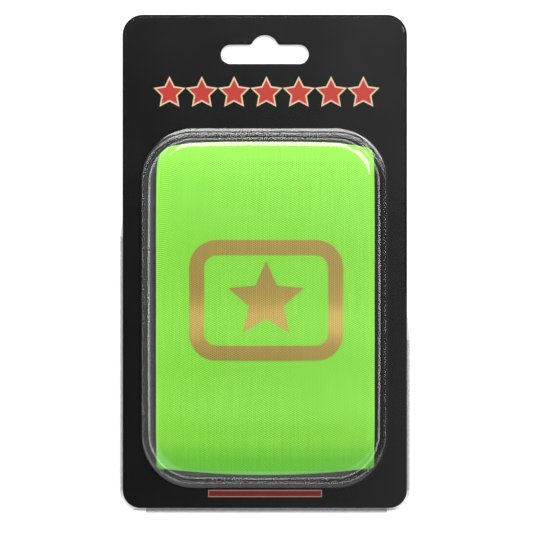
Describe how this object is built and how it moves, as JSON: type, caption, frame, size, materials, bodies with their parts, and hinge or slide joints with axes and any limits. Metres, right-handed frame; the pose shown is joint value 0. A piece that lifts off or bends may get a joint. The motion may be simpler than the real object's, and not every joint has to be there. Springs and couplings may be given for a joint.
{
  "type": "captain armband in blister pack on hanging card",
  "caption": "Flattened loop of elastic armband with a gold frame and star, in a clear dome on a round-cornered hanging card.",
  "frame": {"origin": "middle of the underside of the whole pack, in the plane that its folded lips lie on", "axes": "+X across the card, +Y up the card towards its hanging slot, +Z out of the card through the dome"},
  "size_m": [0.1056, 0.181, 0.0171],
  "materials": {
    "printed_card": "black coated board with a soft gloss",
    "clear_sheet": "clear thermoformed sheet",
    "green_elastic": "neon green knitted elastic with fine ribs",
    "gold_print": "satin gold transfer print"
  },
  "bodies": {
    "root": {"backing_card": "printed_card", "blister": "clear_sheet", "armband": "green_elastic", "gold_frame": "gold_print", "gold_star": "gold_print"}
  },
  "joints": []
}
